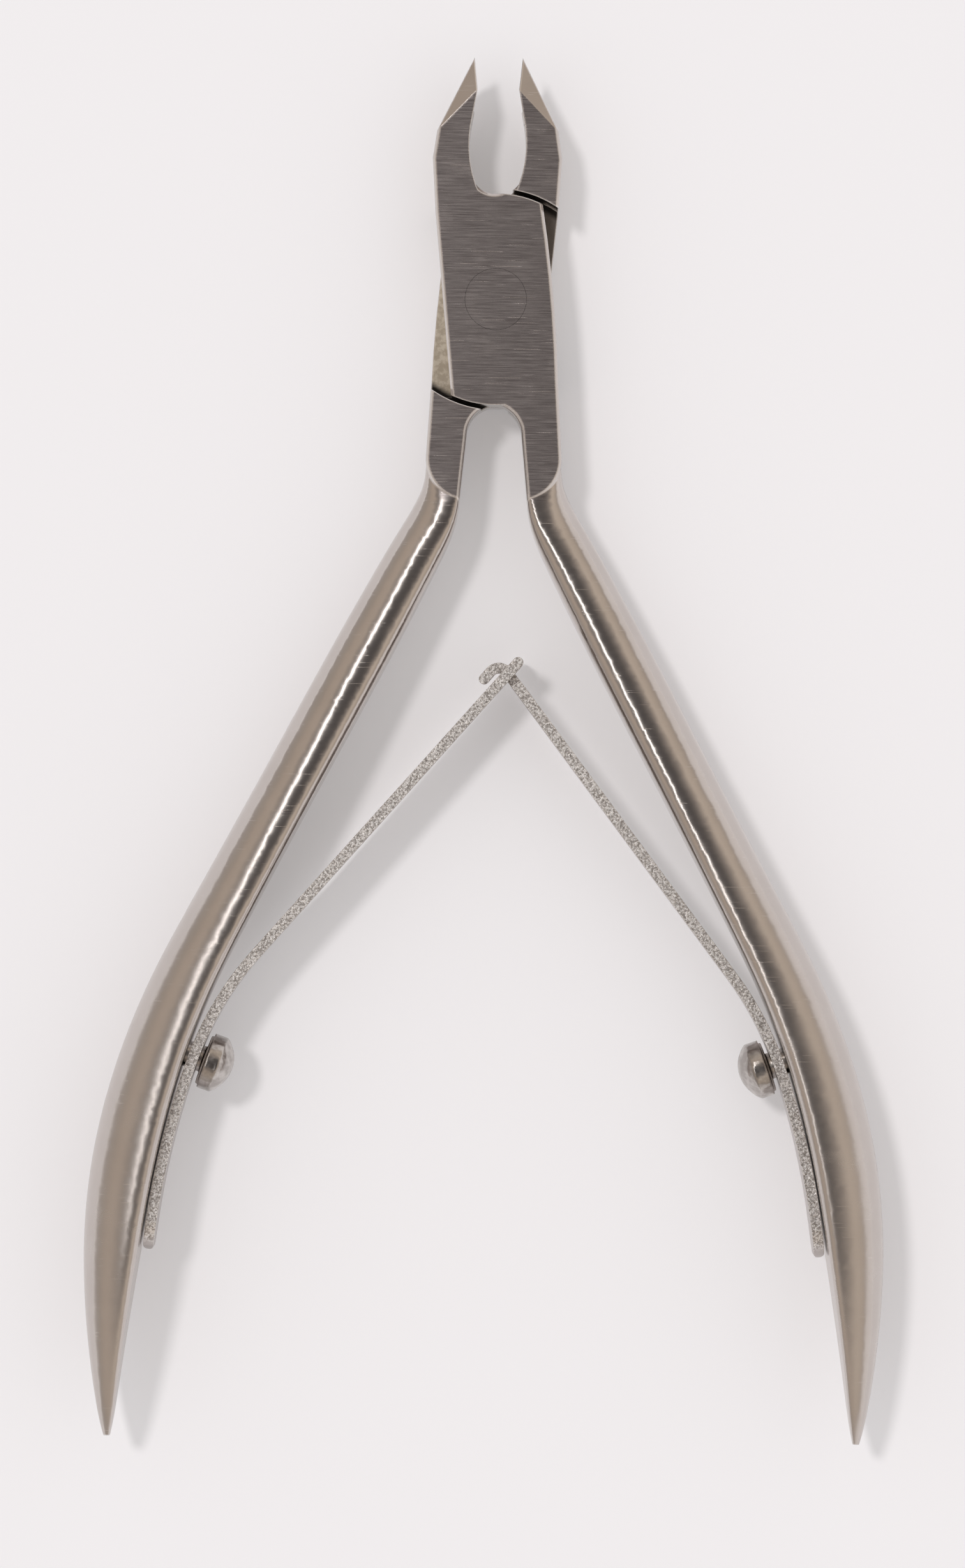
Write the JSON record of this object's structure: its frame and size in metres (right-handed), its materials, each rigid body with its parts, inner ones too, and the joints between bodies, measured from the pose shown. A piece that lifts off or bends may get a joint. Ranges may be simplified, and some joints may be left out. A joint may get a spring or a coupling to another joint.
{
  "type": "cuticle nipper",
  "caption": "Hand nipper with two crossing halves on a lap joint, short pointed cutting jaws, D-section handles and interlocking leaf springs.",
  "frame": {"origin": "on the pivot axis, in the plane of the head's flat back face", "axes": "+Y towards the jaw tips, +Z along the pivot axis towards the front face, +X across the open handles"},
  "size_m": [0.0602, 0.1041, 0.0102],
  "materials": {
    "forged_steel": "satin",
    "pin_steel": "ground flush",
    "spring_steel": "tumbled",
    "screw_steel": "polished"
  },
  "bodies": {
    "back_arm": {"back_half": "forged_steel", "pivot_pin": "pin_steel", "left_spring_screw": "screw_steel"},
    "front_arm": {"front_half": "forged_steel", "right_spring_screw": "screw_steel"},
    "left_leaf": {"left_leaf_spring": "spring_steel"},
    "right_leaf": {"right_leaf_spring": "spring_steel"}
  },
  "joints": [
    {"name": "jaw_pivot", "type": "hinge", "parent": "back_arm", "child": "front_arm", "pos_m": [0, 0, 0.003], "axis": [0, 0, -1], "range_deg": [0, 11.2], "stiffness_Nm_per_rad": 1.5},
    {"name": "left_leaf_flex", "type": "hinge", "parent": "back_arm", "child": "left_leaf", "pos_m": [-0.02183, -0.05673, 0.003], "axis": [0, 0, 1], "range_deg": [0, 4.16]},
    {"name": "right_leaf_flex", "type": "hinge", "parent": "front_arm", "child": "right_leaf", "pos_m": [0.02183, -0.05673, 0.003], "axis": [0, 0, -1], "range_deg": [0, 5.85]}
  ],
  "couplings": [
    {"joint": "left_leaf_flex", "follows": "jaw_pivot", "ratio": 0.36987},
    {"joint": "right_leaf_flex", "follows": "jaw_pivot", "ratio": 0.5208}
  ]
}
